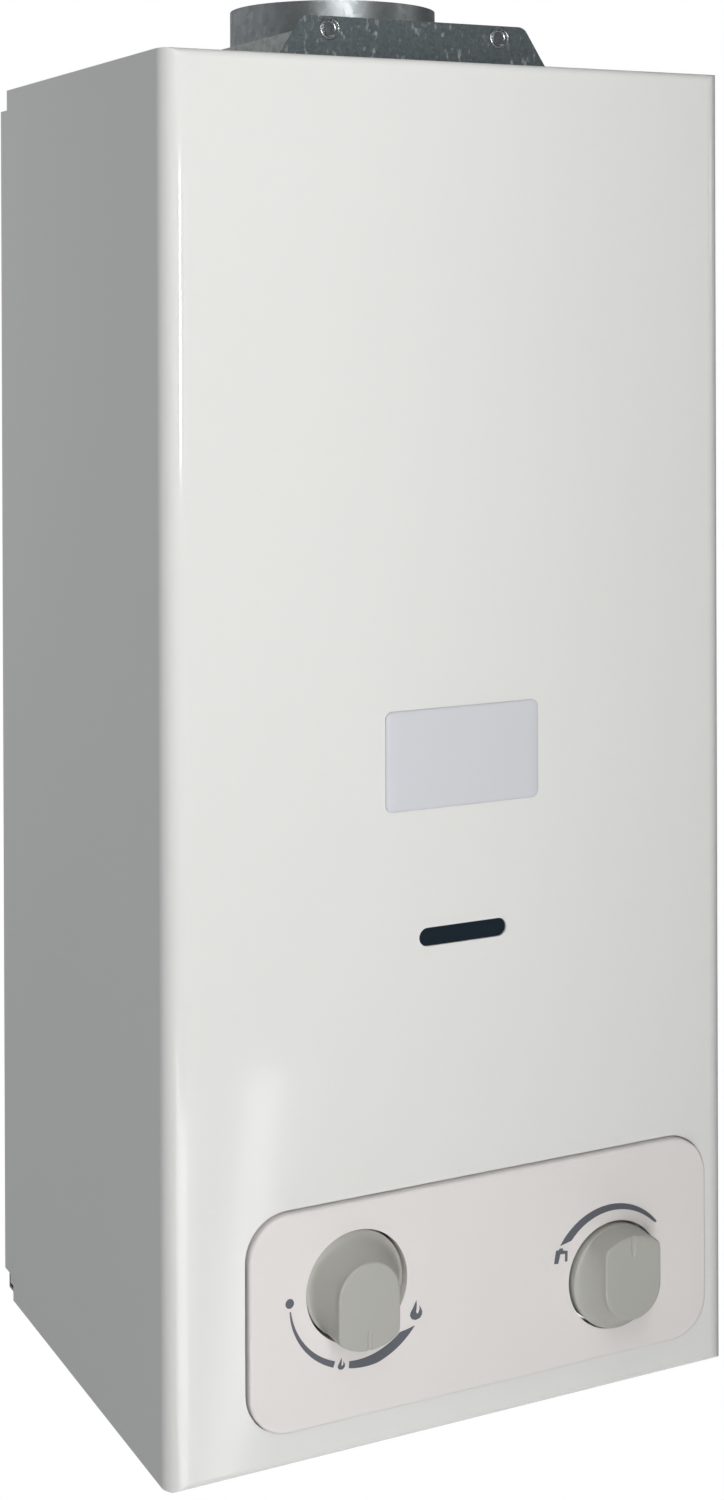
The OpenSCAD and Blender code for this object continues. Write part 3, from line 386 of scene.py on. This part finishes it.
pressed = finish(
    "pressed_zinc", worked,
    {"Bright": (0.6, 0.64, 0.65, 1), "Dull": (0.4, 0.43, 0.44, 1), "Scale": 500.0, "Polish": 0.14},
    bump=0.03, Metallic=0.95)


def add_piece(name, mesh_maker, material, body):
    """Makes a mesh piece that rides on a body of the frame."""
    mesh = bpy.data.meshes.new(name)
    shape = bmesh.new()
    mesh_maker(shape)
    bmesh.ops.recalc_face_normals(shape, faces=shape.faces)
    shape.to_mesh(mesh)
    shape.free()
    mesh.materials.append(material)
    piece = bpy.data.objects.new(name, mesh)
    studio.collection.objects.link(piece)
    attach(piece, body)
    return piece


def skin(shape, rings):
    """Smooth faces from each ring of points to the next."""
    for low, high in zip(rings, rings[1:]):
        for i in range(len(low)):
            j = (i + 1) % len(low)
            shape.faces.new((low[i], low[j], high[j], high[i])).smooth = True


mm_in_metre = 1000


def lathe(x, face, z, profile, steps=48):
    """A turned shape about a line straight into the wall; profile gives radius and depth in mm."""
    def build(shape):
        rings = []
        for radius, depth in profile:
            ring = []
            for k in range(steps):
                turn = math.tau * k / steps
                ring.append(shape.verts.new((x + radius / mm_in_metre * math.cos(turn),
                                             face + depth / mm_in_metre,
                                             z + radius / mm_in_metre * math.sin(turn))))
            rings.append(ring)
        skin(shape, rings)
        shape.faces.new(rings[0])
        shape.faces.new(rings[-1][::-1])

    return build


hood_low, hood_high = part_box("hood_front_plate")
clinch_x = 0.04
clinch_drop = 0.005
clinch_bowl = [(0.2, 0.6), (1.2, 0.64), (2.2, 0.74), (2.7, 0.72), (3.1, 0.5), (3.4, 0.1)]
clinch_lip = [(3.7, -0.25), (4.0, -0.4), (4.3, -0.34), (4.6, -0.14), (4.8, 0.0)]
clinch_back = [(3.98, 0.02), (3.98, 0.98)]
clinch_profile = clinch_bowl + clinch_lip + clinch_back
for side, label in ((-1, "left"), (1, "right")):
    clinch = lathe(side * clinch_x, hood_low[1], hood_high[2] - clinch_drop, clinch_profile)
    add_piece("clinch_cup_" + label, clinch, pressed, "chassis")

# Ignition and batteries: two probes of glazed ceramic in a galvanised bracket, with silicone leads.
# The ignition box and the battery case are black mouldings. The case holds two cells in plain
# sleeves, behind a lid that swings down on a steel pin.
ceramic = finish(
    "glazed_ceramic", grain,
    {"Tone": (0.82, 0.8, 0.74, 1), "Low Tone": (0.76, 0.73, 0.66, 1), "Gloss": 0.2})
dress(ceramic, "ignition_electrode", "flame_sensor")
dress(galvanised, "electrode_bracket")
red_lead = finish(
    "red_silicone", grain,
    {"Tone": (0.4, 0.02, 0.015, 1), "Low Tone": (0.33, 0.02, 0.015, 1), "Gloss": 0.4})
dress(red_lead, "ignition_lead")
grey_lead = finish(
    "grey_silicone", grain,
    {"Tone": (0.05, 0.05, 0.055, 1), "Low Tone": (0.07, 0.07, 0.07, 1), "Gloss": 0.4})
dress(grey_lead, "sensor_lead")
dress(black, "ignition_box", "battery_case", "battery_lid")
sleeve = finish(
    "cell_sleeve", worked,
    {"Bright": (0.3, 0.31, 0.33, 1), "Dull": (0.22, 0.23, 0.25, 1)},
    Metallic=0.7)
dress(sleeve, "batteries")
dress(plated, "lid_pin")

# Casing: one deep-drawn sheet steel cover, enamelled white and fired, so it is glossy with the
# faint ripple of a poured glaze. It slides over the chassis, and two screws underneath hold it.
enamel = finish(
    "white_enamel", grain,
    {"Tone": (0.8, 0.805, 0.79, 1), "Low Tone": (0.785, 0.79, 0.775, 1), "Scale": 160.0, "Gloss": 0.07},
    bump=0.01, depth=0.0006)
dress(enamel, "front_casing")

# Control panel: a moulded white plate in the casing's opening, screwed from behind into its posts.
# Its dial signs are printed on its face: off dot, two flames and a swelling arc for gas, a tap and
# an arc for water.
panel_white = finish(
    "panel_plastic", grain,
    {"Tone": (0.785, 0.758, 0.742, 1), "Low Tone": (0.765, 0.738, 0.727, 1),
     "Scale": 2600.0, "Gloss": 0.5},
    bump=0.08)
dress(panel_white, "control_panel")

ink = finish(
    "dial_ink", grain,
    {"Tone": (0.1, 0.11, 0.13, 1), "Low Tone": (0.115, 0.125, 0.148, 1), "Scale": 4000.0, "Gloss": 0.45})
panel_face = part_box("control_panel")[0][1]
ink_thickness = 0.00012
gas_dial = Vector((-0.0505, -0.2085))
water_dial = Vector((0.0673, -0.2268))


def print_sign(name, centre, outline):
    """A layer of ink on the panel's face; outline gives its points from the dial's centre in mm."""
    def build(shape):
        front, back = [], []
        for u, v in outline:
            x, z = centre.x + u / mm_in_metre, centre.y + v / mm_in_metre
            front.append(shape.verts.new((x, panel_face - ink_thickness, z)))
            back.append(shape.verts.new((x, panel_face, z)))
        shape.faces.new(front)
        shape.faces.new(back[::-1])
        for i in range(len(front)):
            j = (i + 1) % len(front)
            shape.faces.new((front[i], front[j], back[j], back[i]))
        shape.normal_update()
        bmesh.ops.triangulate(shape, faces=[face for face in shape.faces if len(face.verts) > 4])

    return add_piece(name, build, ink, "casing")


def dot(u, v, half_width, half_height, steps=32):
    """An oval dot about u and v."""
    turns = [math.tau * k / steps for k in range(steps)]
    return [(u + half_width * math.cos(turn), v + half_height * math.sin(turn)) for turn in turns]


def arc(start, end, inner, outer, lean=0.0, steps=40):
    """A dial arc; inner and outer give the radius at a share of the sweep, lean slants its end."""
    shares = [k / steps for k in range(steps + 1)]

    def at(radius, share, last):
        angle = math.radians(start + (last - start) * share)
        return radius(share) * math.cos(angle), radius(share) * math.sin(angle)

    there = [at(outer, share, end + lean) for share in shares]
    back = [at(inner, share, end - lean) for share in reversed(shares)]
    return there + back


def flame(u, v, size):
    """A flame of two tongues, the left one taller, with a slit between them."""
    left = [(-0.02, 0.02), (-0.24, 0.1), (-0.34, 0.28), (-0.3, 0.45), (-0.18, 0.62), (-0.08, 0.8),
            (0.02, 1.0)]
    slit = [(0.04, 0.8), (0.03, 0.62), (0.0, 0.42), (0.07, 0.3), (0.16, 0.4), (0.2, 0.56), (0.19, 0.72)]
    right = [(0.28, 0.56), (0.34, 0.4), (0.33, 0.24), (0.22, 0.08)]
    return [(u + size * across, v + size * (rise - 0.5)) for across, rise in left + slit + right]


def thick_inner(share):
    """Inner radius of the thick gas arc, which closes to a point over the last sixth of its sweep."""
    point_from, point_share = 0.83, 0.17
    return 29.2 + 0.4 * share + 3.7 * max(0.0, (share - point_from) / point_share)


def thick_outer(share):
    """Outer radius of the thick gas arc, which swells over the first part of its sweep."""
    swell_rate = 2.6
    return 31.9 + 1.6 * min(1.0, swell_rate * share)


print_sign("gas_off_dot", gas_dial, dot(-28.4, -1.5, half_width=1.8, half_height=1.9))
print_sign("gas_thin_arc", gas_dial, arc(
    start=-170.5, end=-108,
    inner=lambda share: 28.3 + 0.9 * share,
    outer=lambda share: 28.8 + 2.9 * share ** 0.8))
print_sign("gas_thick_arc", gas_dial, arc(start=-95.5, end=-38.7, inner=thick_inner, outer=thick_outer))
print_sign("gas_small_flame", gas_dial, flame(-6.3, -29.4, size=4.7))
print_sign("gas_large_flame", gas_dial, flame(26.8, -14.9, size=8.0))
print_sign("water_arc", water_dial, arc(
    start=38.2, end=141, lean=4.5,
    inner=lambda share: 28.8 - 3.1 * share ** 0.6,
    outer=lambda share: 29.6 - 0.4 * share))
tap_spout = [(-27.0, 9.6), (-25.0, 9.4), (-24.0, 13.1), (-21.7, 12.9)]
tap_body = [(-21.8, 9.7), (-20.6, 9.6), (-20.5, 13.9), (-22.6, 14.4)]
tap_handle = [(-22.9, 15.4), (-24.4, 15.5), (-24.6, 14.9), (-26.0, 15.0)]
print_sign("water_tap", water_dial, tap_spout + tap_body + tap_handle)

# Badge: a thin domed plate, moulded in plastic, lacquered grey and left bare. Two pegs on its back
# go through the casing's front and hold it.
badge_lacquer = finish(
    "badge_lacquer", grain,
    {"Tone": (0.675, 0.685, 0.73, 1), "Low Tone": (0.65, 0.66, 0.7, 1), "Scale": 1800.0, "Gloss": 0.25},
    bump=0.03)


def middle(node):
    """Where a piece's box has its middle, across and up."""
    low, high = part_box(node)
    return Vector(((low[0] + high[0]) / 2, (low[2] + high[2]) / 2))


badge_low, badge_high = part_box("badge_plate")
badge_half = Vector(((badge_high[0] - badge_low[0]) / 2, (badge_high[2] - badge_low[2]) / 2))
badge_centre = middle("badge_plate")
casing_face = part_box("front_casing")[0][1]
badge_corner = 0.003
badge_least_corner = 0.0004
badge_edge = [(0.0, 0.0), (0.0, 0.0006), (0.0002, 0.0009), (0.0006, 0.00115), (0.0014, 0.00135)]
badge_dome = [(0.004, 0.00148), (0.010, 0.00156), (0.016, 0.0016)]
peg_radius = 0.0015
peg_length = 0.003
peg_share = 0.6
peg_steps = 24


def rounded_ring(half, corner, inset, steps=10):
    """Points round a rectangle with round corners, drawn in by inset."""
    points = []
    radius = max(corner - inset, badge_least_corner)
    for quarter, (sx, sz) in enumerate(((1, 1), (-1, 1), (-1, -1), (1, -1))):
        for k in range(steps + 1):
            angle = math.pi / 2 * (quarter + k / steps)
            points.append((sx * (half.x - inset - radius) + radius * math.cos(angle),
                           sz * (half.y - inset - radius) + radius * math.sin(angle)))
    return points


def build_badge(shape):
    """The plate from its back edge to the top of its dome, and the pegs."""
    rings = []
    for inset, rise in badge_edge + badge_dome:
        outline = rounded_ring(badge_half, badge_corner, inset)
        rings.append([shape.verts.new((badge_centre.x + u, casing_face - rise, badge_centre.y + v))
                      for u, v in outline])
    skin(shape, rings)
    shape.faces.new(rings[0][::-1])
    shape.faces.new(rings[-1])
    for side in (-1, 1):
        peg = bmesh.ops.create_cone(shape, cap_ends=True, segments=peg_steps, radius1=peg_radius,
                                    radius2=peg_radius, depth=peg_length)
        peg_middle = (badge_centre.x + side * peg_share * badge_half.x, casing_face + peg_length / 2,
                      badge_centre.y)
        inwards = Matrix.Translation(peg_middle) @ Matrix.Rotation(math.pi / 2, 4, "X")
        bmesh.ops.transform(shape, verts=peg["verts"], matrix=inwards)


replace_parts(add_piece("domed_badge", build_badge, badge_lacquer, "casing"), "badge_plate")

# Sight slot: a strip of smoked glass through which the flame is watched. A black moulded frame holds
# it behind the slot in the casing's front.
smoked_glass = finish(
    "smoked_glass", grain,
    {"Tone": (0.011, 0.019, 0.028, 1), "Low Tone": (0.014, 0.022, 0.032, 1), "Gloss": 0.1},
    bump=0.0)
dress(smoked_glass, "sight_glass")
dress(black, "sight_frame")

# Knobs: moulded in one piece and pushed on the spindles, a disc that sweeps up in a hollow curve to
# a broad tongue. The tongue ends in a half round on one side of the axis and runs out to the rim on
# the other, where a short groove with a dot points. These sizes are in mm.
knob_plastic = finish(
    "knob_plastic", grain,
    {"Tone": (0.43, 0.43, 0.4, 1), "Low Tone": (0.415, 0.415, 0.385, 1), "Scale": 3000.0, "Gloss": 0.5},
    bump=0.1)
knob_rim = 21.2
knob_length = 22.5
gas_skirt = 9.0
water_skirt = 10.4
rim_soft = 0.5
tongue_half = 13.4
tongue_reach = 21.0
tongue_corner, tongue_corner_cut = 3.0, 0.5
edge_soft = 0.9
cove_drop = 2.0
cove_power = 1.7
cove_least = 0.05
groove_half, groove_from, groove_depth = 1.3, 14.2, 0.6
groove_fade, groove_crispness = 0.8, 1.6
groove_zone = 1.5
dot_radius, dot_inset, dot_crispness = 1.1, 0.2, 1.5
face_steps, edge_steps, cove_steps, rim_steps = 30, 6, 12, 4
turn_steps = 240
fine_in_turn_step, fine_turn_steps = 6, 24
shortest_edge = 1e-7


def tongue_radius(angle):
    """Distance from the axis to the tongue's side; the tongue points along +90 degrees."""
    across, along = abs(math.cos(angle)), math.sin(angle)
    least_across = 0.2
    if along <= 0:
        return tongue_half
    flank = tongue_half / max(across, least_across)
    overlap = max(0.0, 1.0 - abs(flank - tongue_reach) / tongue_corner)
    return min(flank, tongue_reach) - tongue_corner_cut * overlap * overlap


def eased(share):
    """Share held between 0 and 1, with a soft start and end."""
    share = min(1.0, max(0.0, share))
    return share * share * (3 - 2 * share)


def groove(u, v):
    """Depth of the pointer line and of the dot at its inner end."""
    line_width = eased(groove_crispness * (1 - abs(u) / groove_half))
    line = groove_depth * line_width * eased((v - groove_from) / groove_fade)
    from_dot = math.hypot(u, v - groove_from + dot_inset)
    dot_hollow = groove_depth * eased(dot_crispness * (1 - from_dot / dot_radius))
    return max(line, dot_hollow)


def knob_profile(angle, skirt):
    """Radius and height from near the middle of the tongue's face to the rim's back edge."""
    side = tongue_radius(angle)
    points = [((side - edge_soft) * k / face_steps, knob_length) for k in range(1, face_steps + 1)]
    for k in range(1, edge_steps + 1):
        turn = math.pi / 2 * k / edge_steps
        points.append((side - edge_soft + edge_soft * math.sin(turn),
                       knob_length - edge_soft + edge_soft * math.cos(turn)))
    cove_reach = max(cove_least, knob_rim - rim_soft - side)
    for k in range(cove_steps + 1):
        climb = (knob_length - skirt - cove_drop) * (1 - k / cove_steps) ** cove_power
        points.append((side + cove_reach * k / cove_steps, skirt + climb))
    shoulder = max(side + cove_reach, knob_rim - rim_soft)
    for k in range(1, rim_steps + 1):
        turn = math.pi / 2 * k / rim_steps
        points.append((shoulder + (knob_rim - shoulder) * math.sin(turn),
                       skirt - rim_soft + rim_soft * math.cos(turn)))
    return points + [(knob_rim, rim_soft), (knob_rim - rim_soft, 0.0)]


def knob_angles():
    """Even turns round the knob, with finer ones on both sides of the groove."""
    fine_turn = 360 / turn_steps / fine_in_turn_step
    between = [k for k in range(-fine_turn_steps, fine_turn_steps + 1) if k % fine_in_turn_step]
    even = [math.tau * k / turn_steps for k in range(turn_steps)]
    return sorted(even + [math.pi / 2 + math.radians(fine_turn * k) for k in between])


def build_knob(centre, back, pointing, skirt):
    """A knob whose groove points up where pointing is 1, and down where it is -1."""
    def build(shape):
        columns = []
        for angle in knob_angles():
            column = []
            for radius, height in knob_profile(angle, skirt):
                u, v = radius * math.cos(angle), radius * math.sin(angle)
                if height > knob_length - groove_zone:
                    height -= groove(u, v)
                column.append(shape.verts.new((centre.x + pointing * u / mm_in_metre,
                                               back - height / mm_in_metre,
                                               centre.y + pointing * v / mm_in_metre)))
            columns.append(column)
        top = shape.verts.new((centre.x, back - knob_length / mm_in_metre, centre.y))
        bottom = shape.verts.new((centre.x, back, centre.y))
        for here, beside in zip(columns, columns[1:] + columns[:1]):
            shape.faces.new((top, here[0], beside[0])).smooth = True
            shape.faces.new((bottom, beside[-1], here[-1]))
            for i in range(len(here) - 1):
                shape.faces.new((here[i], here[i + 1], beside[i + 1], beside[i])).smooth = True
        bmesh.ops.dissolve_degenerate(shape, dist=shortest_edge, edges=shape.edges)

    return build


gas_knob_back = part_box("gas_knob")[0][1] + knob_length / mm_in_metre
gas_knob = build_knob(middle("gas_knob"), gas_knob_back, -1, gas_skirt)
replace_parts(add_piece("gas_knob_moulding", gas_knob, knob_plastic, "gas_control"),
            "gas_knob")
water_knob_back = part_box("water_knob")[0][1] + knob_length / mm_in_metre
water_knob = build_knob(middle("water_knob"), water_knob_back, 1, water_skirt)
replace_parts(add_piece("water_knob_moulding", water_knob, knob_plastic, "water_control"),
            "water_knob")

# Floor: a round matt white sheet that glows a little, so that it stays pale. It lies far below the
# connections and takes no hard shadow, because the heater hangs in the air as it would on a wall.
floor_white = finish(
    "white_floor", grain,
    {"Tone": (0.9, 0.9, 0.9, 1), "Low Tone": (0.89, 0.89, 0.89, 1), "Gloss": 0.9},
    Emission_Color=(1, 1, 1, 1), Emission_Strength=0.5)
floor_radius = 1.2
floor_drop = 1.2
floor_steps = 96
floor_mesh = bpy.data.meshes.new("studio_floor")
floor_shape = bmesh.new()
bmesh.ops.create_circle(floor_shape, cap_ends=True, segments=floor_steps, radius=floor_radius)
floor_shape.to_mesh(floor_mesh)
floor_shape.free()
floor_mesh.materials.append(floor_white)
floor = bpy.data.objects.new("studio_floor", floor_mesh)
floor.location = (0, 0, -floor_drop)
studio.collection.objects.link(floor)
